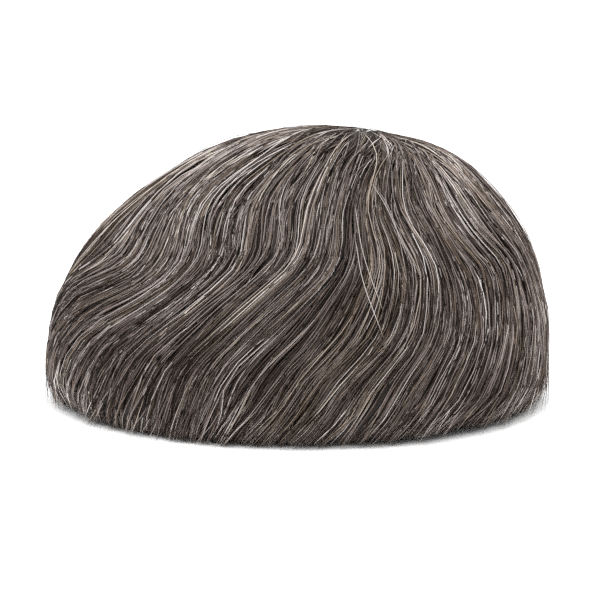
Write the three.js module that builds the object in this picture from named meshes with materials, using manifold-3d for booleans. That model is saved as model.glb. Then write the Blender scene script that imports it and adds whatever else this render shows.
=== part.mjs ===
// A man's toupee hairpiece, as it lies on a table: a thin base cap and the wavy hair knotted to it.
// Millimetres, +Z up, the table at Z 0. -X is the front hairline, +X the nape, -Y the wearer's left.
// Everything is built about the upright axis through the top of the dome.
import * as THREE from 'three';
import { mergeVertices } from 'three/addons/utils/BufferGeometryUtils.js';
import Module from 'manifold-3d';

const wasm = await Module();
wasm.setup();

// Base cap: the fine net that the hair is knotted to, in the dome that it keeps off the head.
const BASE_LENGTH = 190;
const BASE_WIDTH = 146;
const BASE_DEPTH = 66;
const BASE_WALL = 1.2;

// Hair: how far it stands out from the base, and how far it hangs below the base's rim.
const LOFT_TOP = 16;
const LOFT_FRONT = 18;
const LOFT_NAPE = 18;
const LOFT_SIDE = 15;
const DROP = 42;

// The top of the dome lies this far behind the middle of the base, and the whorl behind and right of it.
const PEAK_BACK = 11.5;
const WHORL_BACK = 19.5;
const WHORL_RIGHT = 18;
const WHORL_RADIUS = 18;
const WHORL_DEPTH = 1;

// Below its widest line the hair curls in, and its hem stands on the table.
const SWELL_HEIGHT = 18;
const TUCK_SIDE = 6.5;
const TUCK_END = 8;
const HEM_THICKNESS = 7;

// Locks: the valley between two of them, and the shallow wave that runs across them all.
const LOCK_DEPTH = 2.4;
const WAVE_DEPTH = 2;

// Clearances: hair to base, and one piece of hair to the next.
const SEAT_GAP = 0.3;
const PIECE_GAP = 0.5;

// Numbers of facets.
const BASE_SIDES = 48;
const BASE_RINGS = 8;
const WHORL_RIBS = 20;
const ROWS_ABOVE_SWELL = 12;
const ROWS_BELOW_SWELL = 3;
const LOCKS_PER_PARTING = 2;

// How far down the hair lies, as a share of the way from the whorl, 0, to the hem, 1.
const SWELL_FALL = 0.87;
const FULL_LOCKS_FALL = 0.36;
const WAVE_PITCH = 0.5;
const FALLS = { root: 0.18, shoulder: 0.40, side: 0.60, waist: 0.80, hem: 1.00 };

// Partings: the valleys that run from the whorl to the hem, as azimuths in degrees at each fall,
// counted from the nape round by the wearer's right. A row with a name starts that piece.
const PARTINGS = [
  { piece: 'hair_front', root: 146, shoulder: 143, side: 139, waist: 150, hem: 156 },
  { root: 166, shoulder: 165, side: 158, waist: 160, hem: 164 },
  { root: 192, shoulder: 192, side: 186, waist: 174, hem: 171 },
  { root: 204, shoulder: 206, side: 203, waist: 182, hem: 178 },
  { piece: 'hair_left_temple', root: 214, shoulder: 211, side: 213, waist: 190, hem: 186 },
  { root: 224, shoulder: 217, side: 221, waist: 198, hem: 192 },
  { root: 236, shoulder: 228, side: 229, waist: 208, hem: 200 },
  { root: 246, shoulder: 243, side: 243, waist: 223, hem: 214 },
  { piece: 'hair_left_side', root: 261, shoulder: 260, side: 256, waist: 234, hem: 226 },
  { root: 278, shoulder: 271, side: 267, waist: 244, hem: 234 },
  { root: 288, shoulder: 278, side: 276, waist: 258, hem: 244 },
  { root: 295, shoulder: 286, side: 292, waist: 278, hem: 260 },
  { root: 302, shoulder: 293, side: 301, waist: 291, hem: 275 },
  { root: 308, shoulder: 301, side: 309, waist: 302, hem: 287 },
  { piece: 'hair_nape', root: 313, shoulder: 309, side: 319, waist: 315, hem: 299 },
  { root: 319, shoulder: 319, side: 328, waist: 326, hem: 311 },
  { root: 328, shoulder: 327, side: 336, waist: 337, hem: 325 },
  { root: 342, shoulder: 339, side: 346, waist: 350, hem: 341 },
  { root: 360, shoulder: 360, side: 360, waist: 363, hem: 361 },
  { root: 380, shoulder: 382, side: 376, waist: 374, hem: 382 },
  { piece: 'hair_right_side', root: 398, shoulder: 402, side: 393, waist: 393, hem: 407 },
  { root: 411, shoulder: 418, side: 410, waist: 416, hem: 431 },
  { root: 425, shoulder: 433, side: 427, waist: 438, hem: 453 },
  { piece: 'hair_right_temple', root: 442, shoulder: 447, side: 448, waist: 467, hem: 477 },
  { root: 460, shoulder: 460, side: 464, waist: 485, hem: 493 },
  { root: 482, shoulder: 480, side: 479, waist: 498, hem: 505 },
];

// The section across one lock, laid like a roof tile: shares of its width and of LOCK_DEPTH.
const LOCK_SECTION = [
  { across: 0, sink: 1 },
  { across: 0.3, sink: 0 },
  { across: 0.7, sink: 0.4 },
];

// Dents: the middle of each, how far it spreads in degrees and in fall, and its depth as a share
// of LOFT_SIDE.
const DENTS = [
  { name: 'temple hollow', azimuth: 206, fall: 0.60, across: 16, along: 0.07, depth: 0.16 },
  { name: 'left side hollow', azimuth: 237, fall: 0.58, across: 9, along: 0.10, depth: 0.10 },
  { name: 'short parting', azimuth: 283, fall: 0.47, across: 6, along: 0.12, depth: 0.13 },
  { name: 'left waist hollow', azimuth: 264, fall: 0.68, across: 10, along: 0.06, depth: 0.10 },
  { name: 'nape hollow', azimuth: 314, fall: 0.58, across: 8, along: 0.10, depth: 0.12 },
  { name: 'right temple hollow', azimuth: 152, fall: 0.60, across: 14, along: 0.08, depth: 0.12 },
  { name: 'right side hollow', azimuth: 80, fall: 0.60, across: 14, along: 0.10, depth: 0.12 },
];

// Domes: the reach of an oblong dome from its axis, its lowest and highest points and how full it is.
const BASE_DOME = {
  front: BASE_LENGTH / 2 + PEAK_BACK,
  nape: BASE_LENGTH / 2 - PEAK_BACK,
  side: BASE_WIDTH / 2,
  low: DROP,
  high: DROP + BASE_DEPTH,
  fullness: { front: 2, nape: 2, side: 2 },
};
const HAIR_DOME = {
  front: BASE_DOME.front + LOFT_FRONT,
  nape: BASE_DOME.nape + LOFT_NAPE,
  side: BASE_DOME.side + LOFT_SIDE,
  low: SWELL_HEIGHT,
  high: BASE_DOME.high + LOFT_TOP,
  fullness: { front: 1.85, nape: 2.2, side: 1.95 },
};

const WHORL = new THREE.Vector2(WHORL_BACK, WHORL_RIGHT);
const HAIR_LENGTH = HAIR_DOME.front + HAIR_DOME.nape;
const WHORL_FALL = SWELL_FALL * Math.asin(WHORL_RADIUS / (HAIR_LENGTH / 2)) / (Math.PI / 2);
const MIDDLE = new THREE.Vector3(0, 0, 0);

// The same dome, larger or smaller by a margin all round, above the same rim.
function grownDome(dome, margin) {
  return {
    ...dome,
    front: dome.front + margin,
    nape: dome.nape + margin,
    side: dome.side + margin,
    high: dome.high + margin,
  };
}

function reach(dome, azimuth) {
  const end = Math.cos(azimuth) < 0 ? dome.front : dome.nape;
  return 1 / Math.hypot(Math.cos(azimuth) / end, Math.sin(azimuth) / dome.side);
}

function domeHeight(dome, x, y) {
  const azimuth = Math.atan2(y, x);
  const share = Math.min(Math.hypot(x, y) / reach(dome, azimuth), 1);
  const end = x < 0 ? dome.fullness.front : dome.fullness.nape;
  const power = THREE.MathUtils.lerp(dome.fullness.side, end, Math.cos(azimuth) ** 2);
  return dome.low + (dome.high - dome.low) * (1 - share ** power) ** (1 / power);
}

function domePoint(dome, azimuth, share) {
  const radius = share * reach(dome, azimuth);
  const x = radius * Math.cos(azimuth);
  const y = radius * Math.sin(azimuth);
  return new THREE.Vector3(x, y, domeHeight(dome, x, y));
}

// How far the hem is drawn in below the widest line.
function tuck(azimuth) {
  return THREE.MathUtils.lerp(TUCK_SIDE, TUCK_END, Math.cos(azimuth) ** 2);
}

// The outer face of the hair before locks, from the whorl to the widest line and in to the hem.
function hairPoint(azimuth, fall) {
  const swell = domePoint(HAIR_DOME, azimuth, 1);
  if (fall <= SWELL_FALL) {
    const run = Math.sin((fall / SWELL_FALL) * Math.PI / 2);
    const x = THREE.MathUtils.lerp(WHORL.x, swell.x, run);
    const y = THREE.MathUtils.lerp(WHORL.y, swell.y, run);
    return new THREE.Vector3(x, y, domeHeight(HAIR_DOME, x, y));
  }
  const under = (fall - SWELL_FALL) / (1 - SWELL_FALL);
  const share = 1 - tuck(azimuth) * under ** 2 / reach(HAIR_DOME, azimuth);
  return new THREE.Vector3(swell.x * share, swell.y * share, SWELL_HEIGHT * (1 - under));
}

// How deep the wave and the dents lie at a place on the hair.
function hollowDepth(azimuth, fall) {
  const wave = 0.5 - 0.5 * Math.cos(2 * Math.PI * (SWELL_FALL - fall) / WAVE_PITCH);
  let depth = fall < SWELL_FALL ? WAVE_DEPTH * wave * Math.sin(azimuth) ** 2 : 0;
  for (const dent of DENTS) {
    const turn = azimuth * THREE.MathUtils.RAD2DEG - dent.azimuth;
    const across = (THREE.MathUtils.euclideanModulo(turn + 180, 360) - 180) / dent.across;
    const along = (fall - dent.fall) / dent.along;
    depth += LOFT_SIDE * dent.depth * Math.exp(-(across ** 2) - along ** 2);
  }
  return depth * THREE.MathUtils.smoothstep(fall, WHORL_FALL, FALLS.shoulder);
}

// Sink a point towards the middle of the floor, so that the hem stays on the table.
function sunk(point, depth) {
  const length = point.distanceTo(MIDDLE);
  return point.lerp(MIDDLE, depth / length);
}

// Azimuths of all partings at one fall, on a smooth curve through the table. The first comes again
// at the end.
const HEIGHTS = Object.keys(FALLS);
const PARTING_TRACKS = new THREE.CubicInterpolant(
  HEIGHTS.map((height) => FALLS[height]),
  HEIGHTS.flatMap((height) => PARTINGS.map((row) => row[height] * THREE.MathUtils.DEG2RAD)),
  PARTINGS.length,
);
function partingsAt(fall) {
  const azimuths = Array.from(PARTING_TRACKS.evaluate(fall));
  return [...azimuths, azimuths[0] + 2 * Math.PI];
}

// A closed mesh from its corners and triangles.
function closedGeometry(corners, triangles) {
  const geometry = new THREE.BufferGeometry().setFromPoints(corners);
  geometry.setIndex(triangles.flat());
  return mergeVertices(geometry, 1e-4);
}

function toSolid(geometry) {
  return new wasm.Manifold(new wasm.Mesh({
    numProp: 3,
    vertProperties: new Float32Array(geometry.attributes.position.array),
    triVerts: new Uint32Array(geometry.index.array),
  }));
}

function toGeometry(solid) {
  const mesh = solid.getMesh();
  const geometry = new THREE.BufferGeometry();
  geometry.setAttribute('position', new THREE.BufferAttribute(mesh.vertProperties, 3));
  geometry.setIndex(new THREE.BufferAttribute(mesh.triVerts, 1));
  return geometry;
}

// Triangles of a grid of corners, rows running down and columns running round, seen from outside.
function gridTriangles(rows, columns, first = 0) {
  const triangles = [];
  for (let row = 0; row < rows - 1; row += 1) {
    for (let column = 0; column < columns - 1; column += 1) {
      const corner = first + row * columns + column;
      triangles.push([corner, corner + columns, corner + columns + 1]);
      triangles.push([corner, corner + columns + 1, corner + 1]);
    }
  }
  return triangles;
}

// A patch of the outer face carried in to the middle of the floor, as a solid.
function wedge(grid) {
  const rows = grid.length;
  const columns = grid[0].length;
  const corners = [...grid.flat(), MIDDLE];
  const middle = corners.length - 1;
  const at = (row, column) => row * columns + column;
  const triangles = gridTriangles(rows, columns);
  for (let column = 0; column < columns - 1; column += 1) {
    triangles.push([at(0, column), at(0, column + 1), middle]);
    triangles.push([at(rows - 1, column + 1), at(rows - 1, column), middle]);
  }
  for (let row = 0; row < rows - 1; row += 1) {
    triangles.push([at(row + 1, 0), at(row, 0), middle]);
    triangles.push([at(row, columns - 1), at(row + 1, columns - 1), middle]);
  }
  return toSolid(closedGeometry(corners, triangles));
}

// Rings of a dome from near its top to its rim, each closed on itself.
function domeRings(dome) {
  const rings = [];
  for (let ring = 1; ring <= BASE_RINGS; ring += 1) {
    const share = Math.sin((ring / BASE_RINGS) * Math.PI / 2);
    const points = [];
    for (let side = 0; side <= BASE_SIDES; side += 1) {
      points.push(domePoint(dome, (side % BASE_SIDES) / BASE_SIDES * 2 * Math.PI, share));
    }
    rings.push(points);
  }
  return rings;
}

// A flat lid over one ring of a grid, facing up or down.
function lidTriangles(first, columns, facesUp) {
  const triangles = [];
  for (let column = 1; column < columns - 2; column += 1) {
    const pair = [first + column, first + column + 1];
    triangles.push(facesUp ? [first, ...pair] : [first, ...pair.reverse()]);
  }
  return triangles;
}

// The space inside the hair: the base cap with its clearance, then down to the inner edge of the hem.
function cavitySolid() {
  const rings = domeRings(grownDome(BASE_DOME, SEAT_GAP));
  const below = -HEM_THICKNESS;
  rings.push(rings[BASE_RINGS - 1].map((point) => {
    const azimuth = Math.atan2(point.y, point.x);
    const hem = reach(HAIR_DOME, azimuth) - tuck(azimuth) - HEM_THICKNESS;
    const rim = Math.hypot(point.x, point.y);
    const radius = hem + (hem - rim) * (-below / DROP);
    return new THREE.Vector3(radius * Math.cos(azimuth), radius * Math.sin(azimuth), below);
  }));
  const columns = BASE_SIDES + 1;
  const triangles = [
    ...gridTriangles(rings.length, columns),
    ...lidTriangles(0, columns, true),
    ...lidTriangles((rings.length - 1) * columns, columns, false),
  ];
  return toSolid(closedGeometry(rings.flat(), triangles));
}

// The base cap: an outer dome and an inner one, joined at the rim; its top is a small flat both ways.
function baseCapGeometry() {
  const outer = domeRings(BASE_DOME);
  const inner = domeRings(grownDome(BASE_DOME, -BASE_WALL)).reverse();
  const columns = BASE_SIDES + 1;
  const triangles = [
    ...gridTriangles(outer.length + inner.length, columns),
    ...lidTriangles(0, columns, true),
    ...lidTriangles((outer.length + inner.length - 1) * columns, columns, false),
  ];
  return closedGeometry([...outer, ...inner].flat(), triangles);
}

// Falls of the rows of one piece of hair, from just outside the whorl's piece to the hem.
function rowFalls() {
  const top = WHORL_FALL + PIECE_GAP / HAIR_LENGTH;
  const falls = [];
  for (let row = 0; row < ROWS_ABOVE_SWELL; row += 1) {
    falls.push(THREE.MathUtils.lerp(top, SWELL_FALL, row / ROWS_ABOVE_SWELL));
  }
  for (let row = 0; row <= ROWS_BELOW_SWELL; row += 1) {
    falls.push(THREE.MathUtils.lerp(SWELL_FALL, 1, row / ROWS_BELOW_SWELL));
  }
  return falls;
}

// Columns of one piece: each lock's section, as a parting, a share of the way to the next and a sink.
function lockColumns(first, last) {
  const columns = [];
  for (let parting = first; parting < last; parting += 1) {
    for (let lock = 0; lock < LOCKS_PER_PARTING; lock += 1) {
      for (const { across, sink } of LOCK_SECTION) {
        columns.push({ parting, share: (lock + across) / LOCKS_PER_PARTING, sink });
      }
    }
  }
  columns.push({ parting: last - 1, share: 1, sink: LOCK_SECTION[0].sink });
  return columns;
}

// One piece of hair between two partings, with half of the gap taken off each of its sides.
function hairPiece(first, last) {
  const columns = lockColumns(first, last);
  const grid = rowFalls().map((fall) => {
    const partings = partingsAt(fall);
    const lockDepth = LOCK_DEPTH * THREE.MathUtils.smoothstep(fall, WHORL_FALL, FULL_LOCKS_FALL);
    return columns.map(({ parting, share, sink }, index) => {
      const middle = THREE.MathUtils.lerp(partings[parting], partings[parting + 1], share);
      const run = Math.sin((Math.min(fall, SWELL_FALL) / SWELL_FALL) * Math.PI / 2);
      const halfGap = PIECE_GAP / 2 / (run * reach(HAIR_DOME, middle));
      const side = (index === 0 ? 1 : 0) - (index === columns.length - 1 ? 1 : 0);
      const azimuth = middle + side * halfGap;
      return sunk(hairPoint(azimuth, fall), hollowDepth(azimuth, fall) + lockDepth * sink);
    });
  });
  return toGeometry(wedge(grid).subtract(cavitySolid()));
}

// The small round piece at the whorl, with shallow ribs that turn as they run out.
function whorlPiece() {
  const columns = WHORL_RIBS * 2;
  const rows = 4;
  const top = sunk(hairPoint(0, 0), WHORL_DEPTH);
  const grid = [];
  for (let row = 1; row <= rows; row += 1) {
    const share = row / rows;
    const points = [];
    for (let column = 0; column <= columns; column += 1) {
      const step = column % columns;
      const azimuth = (step + 1 - share) / columns * 2 * Math.PI;
      const sink = WHORL_DEPTH * (1 - share) * (step % 2 ? 0.5 : 1);
      points.push(sunk(hairPoint(azimuth, share * WHORL_FALL), sink));
    }
    grid.push(points);
  }
  const corners = [...grid.flat(), top, MIDDLE];
  const topCorner = corners.length - 2;
  const middle = corners.length - 1;
  const width = columns + 1;
  const triangles = gridTriangles(rows, width);
  for (let column = 0; column < columns; column += 1) {
    triangles.push([topCorner, column, column + 1]);
    const edge = (rows - 1) * width + column;
    triangles.push([edge + 1, edge, middle]);
  }
  return toGeometry(toSolid(closedGeometry(corners, triangles)).subtract(cavitySolid()));
}

function hairMaterial(color) {
  return new THREE.MeshStandardMaterial({ color, roughness: 0.55, metalness: 0 });
}

function named(name, geometry, material) {
  const mesh = new THREE.Mesh(geometry, material);
  mesh.name = name;
  return mesh;
}

const hairpiece = new THREE.Group();
const netMaterial = new THREE.MeshStandardMaterial({ color: 0x4b3f36, roughness: 0.85, metalness: 0 });
hairpiece.add(named('base_cap', baseCapGeometry(), netMaterial));
hairpiece.add(named('hair_crown', whorlPiece(), hairMaterial(0x6b5f57)));

const starts = PARTINGS.flatMap((row, index) => (row.piece ? [index] : []));
starts.forEach((first, index) => {
  const last = starts[index + 1] ?? PARTINGS.length;
  hairpiece.add(named(PARTINGS[first].piece, hairPiece(first, last), hairMaterial(0x60554f)));
});

// The origin is the middle of the floor under the whole piece.
hairpiece.position.x = (HAIR_DOME.front - HAIR_DOME.nape) / 2;

const part = new THREE.Group();
part.add(hairpiece);
export default part;
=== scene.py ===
import math

import bpy
import numpy as np
from bpy.props import EnumProperty, FloatProperty, FloatVectorProperty, IntProperty
from bpy.props import PointerProperty, StringProperty
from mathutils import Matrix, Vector


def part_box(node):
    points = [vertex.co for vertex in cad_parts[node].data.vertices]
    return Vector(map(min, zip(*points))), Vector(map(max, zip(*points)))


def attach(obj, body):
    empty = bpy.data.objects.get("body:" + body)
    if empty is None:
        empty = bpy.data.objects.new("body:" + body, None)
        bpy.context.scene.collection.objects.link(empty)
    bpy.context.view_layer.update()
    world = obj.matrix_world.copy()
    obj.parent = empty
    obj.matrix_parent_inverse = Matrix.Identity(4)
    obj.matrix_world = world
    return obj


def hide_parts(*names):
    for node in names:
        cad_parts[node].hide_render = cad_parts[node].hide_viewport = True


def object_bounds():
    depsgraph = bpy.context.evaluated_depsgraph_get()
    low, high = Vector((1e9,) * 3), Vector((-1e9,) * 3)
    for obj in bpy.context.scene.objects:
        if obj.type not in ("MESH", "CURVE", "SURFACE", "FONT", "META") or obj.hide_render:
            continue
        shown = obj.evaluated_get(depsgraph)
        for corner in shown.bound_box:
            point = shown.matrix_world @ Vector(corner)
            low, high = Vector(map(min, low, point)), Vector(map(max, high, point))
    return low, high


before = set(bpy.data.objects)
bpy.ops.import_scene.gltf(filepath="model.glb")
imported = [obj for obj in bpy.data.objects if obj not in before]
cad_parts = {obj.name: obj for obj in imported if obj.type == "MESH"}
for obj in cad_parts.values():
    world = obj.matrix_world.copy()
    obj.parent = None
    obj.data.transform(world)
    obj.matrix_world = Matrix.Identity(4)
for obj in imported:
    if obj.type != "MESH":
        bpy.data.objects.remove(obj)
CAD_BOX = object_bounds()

bl_info = {
    "name": "Toupee hairpiece",
    "version": (1, 0, 0),
    "blender": (4, 5, 0),
    "location": "View3D > Sidebar > Hairpiece",
    "description": "Combs a wavy salt-and-pepper hairpiece over its packed base, on a lit table",
    "category": "Add Mesh",
}

# Lengths are in metres, in the frame's own axes: -X front hairline, +X nape, -Y the wearer's left.
MM = 0.001
BASE_LOW, BASE_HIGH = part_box("base_cap")
PEAK_X = 11.5 * MM  # top of the dome, behind the base's middle
WHORL = np.array([19.5, 18.0]) * MM  # from the peak, behind and to the right
WHORL_RADIUS = 18 * MM
BASE_GAP = 0.6 * MM  # between the base and the hair's inner face
RIM_RUN = 0.96  # where the inner face reaches the base's rim
SWELL_HEIGHT = 18 * MM  # where the hair is widest
TUCK_SIDE = 6.5 * MM  # how far the hem is drawn in under that
TUCK_END = 8 * MM
HEM_THICKNESS = 7 * MM
LOCK_DEPTH = 2.4 * MM
WAVE_DEPTH = 2 * MM
LOFT_SIDE = CAD_BOX[1].y - BASE_HIGH.y
MIDDLE = np.array([PEAK_X, 0.0, 0.0])

# Domes: reach from the peak's axis to front, nape and side, lowest and highest point, and fullness.
HAIR_DOME = dict(
    front=PEAK_X - CAD_BOX[0].x, nape=CAD_BOX[1].x - PEAK_X, side=CAD_BOX[1].y,
    low=SWELL_HEIGHT, high=CAD_BOX[1].z, full_front=1.85, full_nape=2.2, full_side=1.95,
)
BASE_DOME = dict(
    front=PEAK_X - BASE_LOW.x, nape=BASE_HIGH.x - PEAK_X, side=BASE_HIGH.y,
    low=BASE_LOW.z, high=BASE_HIGH.z, full_front=2.0, full_nape=2.0, full_side=2.0,
)

# How far down the hair lies, as a share of the way from the whorl, 0, to the hem, 1.
SWELL_FALL = 0.87
FULL_LOCKS_FALL = 0.36
LOOSE_FALLS = (0.72, 0.88)  # where the top hair's looseness dies away
LIFT_FALL = 0.72  # from where the hem lifts
FLARE_FALLS = (0.80, 1.02)
WAVE_PITCH = 0.5
HAIR_LENGTH = HAIR_DOME["front"] + HAIR_DOME["nape"]
WHORL_FALL = SWELL_FALL * math.asin(WHORL_RADIUS / (HAIR_LENGTH / 2)) / (math.pi / 2)

# Partings between locks, as azimuths in degrees at each fall. A row with a name starts that piece.
FALLS = (0.18, 0.40, 0.60, 0.80, 1.00)
PARTINGS = (
    # piece, root, shoulder, side, waist, hem
    ("hair_front", 146, 143, 139, 150, 156),
    ("", 166, 165, 158, 160, 164),
    ("", 192, 192, 186, 174, 171),
    ("", 204, 206, 203, 182, 178),
    ("hair_left_temple", 214, 211, 213, 190, 186),
    ("", 224, 217, 221, 198, 192),
    ("", 236, 228, 229, 208, 200),
    ("", 246, 243, 243, 223, 214),
    ("hair_left_side", 261, 260, 256, 234, 226),
    ("", 278, 271, 267, 244, 234),
    ("", 288, 278, 276, 258, 244),
    ("", 295, 286, 292, 278, 260),
    ("", 302, 293, 301, 291, 275),
    ("", 308, 301, 309, 302, 287),
    ("hair_nape", 313, 309, 319, 315, 299),
    ("", 319, 319, 328, 326, 311),
    ("", 328, 327, 336, 337, 325),
    ("", 342, 339, 346, 350, 341),
    ("", 360, 360, 360, 363, 361),
    ("", 380, 382, 376, 374, 382),
    ("hair_right_side", 398, 402, 393, 393, 407),
    ("", 411, 418, 410, 416, 431),
    ("", 425, 433, 427, 438, 453),
    ("hair_right_temple", 442, 447, 448, 467, 477),
    ("", 460, 460, 464, 485, 493),
    ("", 482, 480, 479, 498, 505),
)
LOCKS_PER_PARTING = 2

# Dents: middle azimuth in degrees and fall, their spreads, and depth as a share of LOFT_SIDE.
DENTS = (
    (206, 0.60, 16, 0.07, 0.16),
    (237, 0.58, 9, 0.10, 0.10),
    (283, 0.47, 6, 0.12, 0.13),
    (264, 0.68, 10, 0.06, 0.10),
    (314, 0.58, 8, 0.10, 0.12),
    (152, 0.60, 14, 0.08, 0.12),
    (80, 0.60, 14, 0.10, 0.12),
)

# Where the combed hair stands proud of the solids: middle azimuth and fall, spreads, height.
FULLNESS = (
    (352, 0.30, 28, 0.16, 1.3 * MM),
    (352, 0.55, 22, 0.12, 1.1 * MM),
    (205, 0.30, 30, 0.16, 0.6 * MM),
    (182, 0.60, 20, 0.12, 1.1 * MM),
    (238, 0.17, 30, 0.10, 0.9 * MM),
)
WHORL_DIP = 1.3 * MM

# Where the comb swung the hair aside: middle azimuth and fall, spreads, and the swing in degrees;
# plus turns the hair to higher azimuths on its way down, minus to lower ones.
SWINGS = (
    (200, 0.62, 14, 0.085, -7.5),
    (250, 0.595, 26, 0.085, -6.2),
    (250, 0.50, 16, 0.080, -1.5),
    (227, 0.84, 24, 0.120, 2.6),
    (286, 0.78, 26, 0.090, -5.2),
    (328, 0.56, 15, 0.080, 4.0),
    (312, 0.40, 14, 0.070, -2.0),
)

# Long light hairs that fell across the others: azimuth and fall at the start, middle and end.
STRAYS = (
    ((276, 0.42), (280, 0.54), (286, 0.66)),
    ((277, 0.50), (280, 0.60), (286, 0.72)),
    ((283, 0.36), (289, 0.44), (295, 0.56)),
    ((286, 0.38), (291, 0.47), (294, 0.60)),
    ((160, 0.50), (152, 0.60), (156, 0.72)),
    ((120, 0.40), (114, 0.55), (116, 0.70)),
    ((60, 0.40), (66, 0.50), (64, 0.68)),
)

# Where the hem is off the table: middle azimuth, spread, lift.
HEM_LIFTS = (
    (310, 36, 2.4 * MM),
    (192, 18, 1.4 * MM),
)

# Where the hair is greyer, where painted light makes it lighter as if more in the light, and
# where painted shade makes it darker where it lies in shade: middle azimuth and fall, spreads,
# strength. Then where more hairs are a warmer brown.
GREY_STREAMS_AND_PAINTED_LIGHT = (
    (202, 0.28, 18, 0.11, 0.20),
    (220, 0.19, 26, 0.08, 0.16),
    (214, 0.42, 12, 0.10, 0.12),
    (244, 0.38, 18, 0.12, 0.05),
    (262, 0.48, 12, 0.12, 0.04),
    (285, 0.16, 30, 0.06, 0.13),
    (283, 0.47, 8, 0.10, -0.08),
    (278, 0.67, 7, 0.09, -0.17),
    (322, 0.43, 14, 0.11, 0.14),
    (332, 0.30, 16, 0.08, 0.22),
    (192, 0.53, 12, 0.05, 0.09),
    (215, 0.62, 13, 0.055, 0.11),
    (298, 0.54, 9, 0.11, 0.08),
    (248, 0.60, 12, 0.09, 0.07),
    (257, 0.61, 5, 0.04, -0.13),
    (313, 0.55, 9, 0.05, -0.10),
    (228, 0.79, 18, 0.05, -0.10),
    (204, 0.79, 7, 0.05, -0.06),
    (260, 0.82, 14, 0.06, -0.13),
    (278, 0.88, 10, 0.06, 0.15),
    (300, 0.80, 7, 0.06, -0.05),
    (313, 0.88, 10, 0.08, -0.17),
    (350, 0.80, 13, 0.15, 0.19),
    (194, 0.90, 9, 0.05, 0.16),
    (214, 0.90, 9, 0.06, -0.12),
)
WHORL_SHADE = 0.06  # painted shade: how much darker the roots at the whorl are
WARM_SHARE = 0.16  # share of warm hairs everywhere else
WARM_STREAMS = (
    (283, 0.46, 8, 0.14, 0.45),
    (292, 0.72, 14, 0.12, 0.40),
    (196, 0.42, 12, 0.08, 0.40),
    (270, 0.84, 12, 0.08, 0.40),
    (308, 0.32, 9, 0.09, 0.30),
)

# The camera and the photograph's frame, then the stage.
FRAME_PX = 600
SPAN_PX = 508  # the hairpiece's width in the photograph
ELEVATION = math.radians(12.3)
CAMERA_DISTANCE = 1.2
TARGET = Vector((0.9, 0.0, 45.4)) * MM
SENSOR = 36.0
TABLE_SIZE = 12.0
OVERHEAD = Vector((-0.25, 0.40, 1.0))  # towards the ceiling light
CEILING_WIDTH = math.radians(100)


# Settings

def linear(hexes):
    """An sRGB hex colour as linear red, green and blue."""
    channels = [int(hexes[i:i + 2], 16) / 255 for i in (1, 3, 5)]
    return [c / 12.92 if c <= 0.04045 else ((c + 0.055) / 1.055) ** 2.4 for c in channels]


def length(name, description, default):
    return FloatProperty(
        name=name, description=description, default=default, min=0, precision=5, unit="LENGTH",
    )


def colour(name, description, hexes):
    return FloatVectorProperty(
        name=name, description=description, default=linear(hexes), subtype="COLOR", min=0, max=1,
    )


class HairSettings(bpy.types.PropertyGroup):
    seed: IntProperty(name="Seed", description="Which hairs grow where", default=7)
    upper_width: length("Upper hair", "Thickness of the hairs that show", 0.45 * MM)
    under_width: length("Under hair", "Thickness of the hairs beneath them", 0.55 * MM)
    hem_width: length("Hem hair", "Thickness of the short hairs at the hem", 0.45 * MM)
    looseness: length("Looseness", "How far the top hair stands proud of the solids", 0.9 * MM)
    flare: length("Flare", "How far the loosest tips stand out at the table", 7.5 * MM)
    # painted light on the tips at the hem, which lie in shade under the swell
    hem_painted_light: FloatProperty(
        name="Hem painted light", description="How much lighter the tips at the hem are", default=0.13,
    )


class HairColours(bpy.types.PropertyGroup):
    black: colour("Black", "The darkest neutral hairs", "#0f0b09")
    dark_brown: colour("Dark brown", "Dark neutral hairs", "#2a221f")
    brown: colour("Brown", "Middling neutral hairs", "#5b4f49")
    grey: colour("Grey", "Grey hairs", "#928681")
    silver: colour("Silver", "Light grey hairs", "#c1b8b4")
    white: colour("White", "The lightest neutral hairs", "#ebe6e3")
    warm_black: colour("Warm black", "The darkest warm hairs", "#150e0b")
    umber: colour("Umber", "Dark warm hairs", "#332820")
    chestnut: colour("Chestnut", "Middling warm hairs", "#5d4f44")
    sand: colour("Sand", "Light warm hairs", "#8d7e70")
    fair: colour("Fair", "Fair warm hairs", "#b7a89a")
    cream: colour("Cream", "The lightest warm hairs", "#e3dad0")
    # painted shade: the deep hair is drawn darker, as it lies in shade under the strands
    deep_dark: colour("Deep dark", "Darkest stripes of the deep hair", "#110d0b")
    deep_middle: colour("Deep middle", "Middling stripes of the deep hair", "#28201c")
    deep_light: colour("Deep light", "Lightest stripes of the deep hair", "#4c413b")
    whorl_dark: colour("Whorl dark", "Darkest stripes at the whorl", "#3a322d")
    whorl_middle: colour("Whorl middle", "Middling stripes at the whorl", "#6f655e")
    whorl_light: colour("Whorl light", "Lightest stripes at the whorl", "#a39a93")
    net_hole: colour("Net hole", "Holes of the base's net", "#1c1511")
    net_thread: colour("Net thread", "Threads of the base's net", "#5b4a3d")
    table: colour("Table", "The studio table", "#fbfbfb")


class StageSettings(bpy.types.PropertyGroup):
    sky: FloatProperty(name="Sky", description="Brightness of the white room", default=0.62)
    ceiling: FloatProperty(
        name="Ceiling", description="Strength of the soft light overhead", default=2.0,
    )
    key: FloatProperty(
        name="Key light", description="Strength of the wide light above", default=2.5,
    )
    key_height: FloatProperty(
        name="Key height", description="Angle of the wide light above the table",
        default=math.radians(60), subtype="ANGLE",
    )
    key_turn: FloatProperty(
        name="Key turn", description="Angle of the wide light from straight in front, to the right",
        default=math.radians(5), subtype="ANGLE",
    )
    key_width: FloatProperty(
        name="Key width", description="How wide the light above looks from the table",
        default=math.radians(45), subtype="ANGLE",
    )


def hair():
    return bpy.context.scene.hair_settings


# Small sums


def smoothstep(value, low, high):
    share = np.clip((value - low) / (high - low), 0, 1)
    return share * share * (3 - 2 * share)


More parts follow.
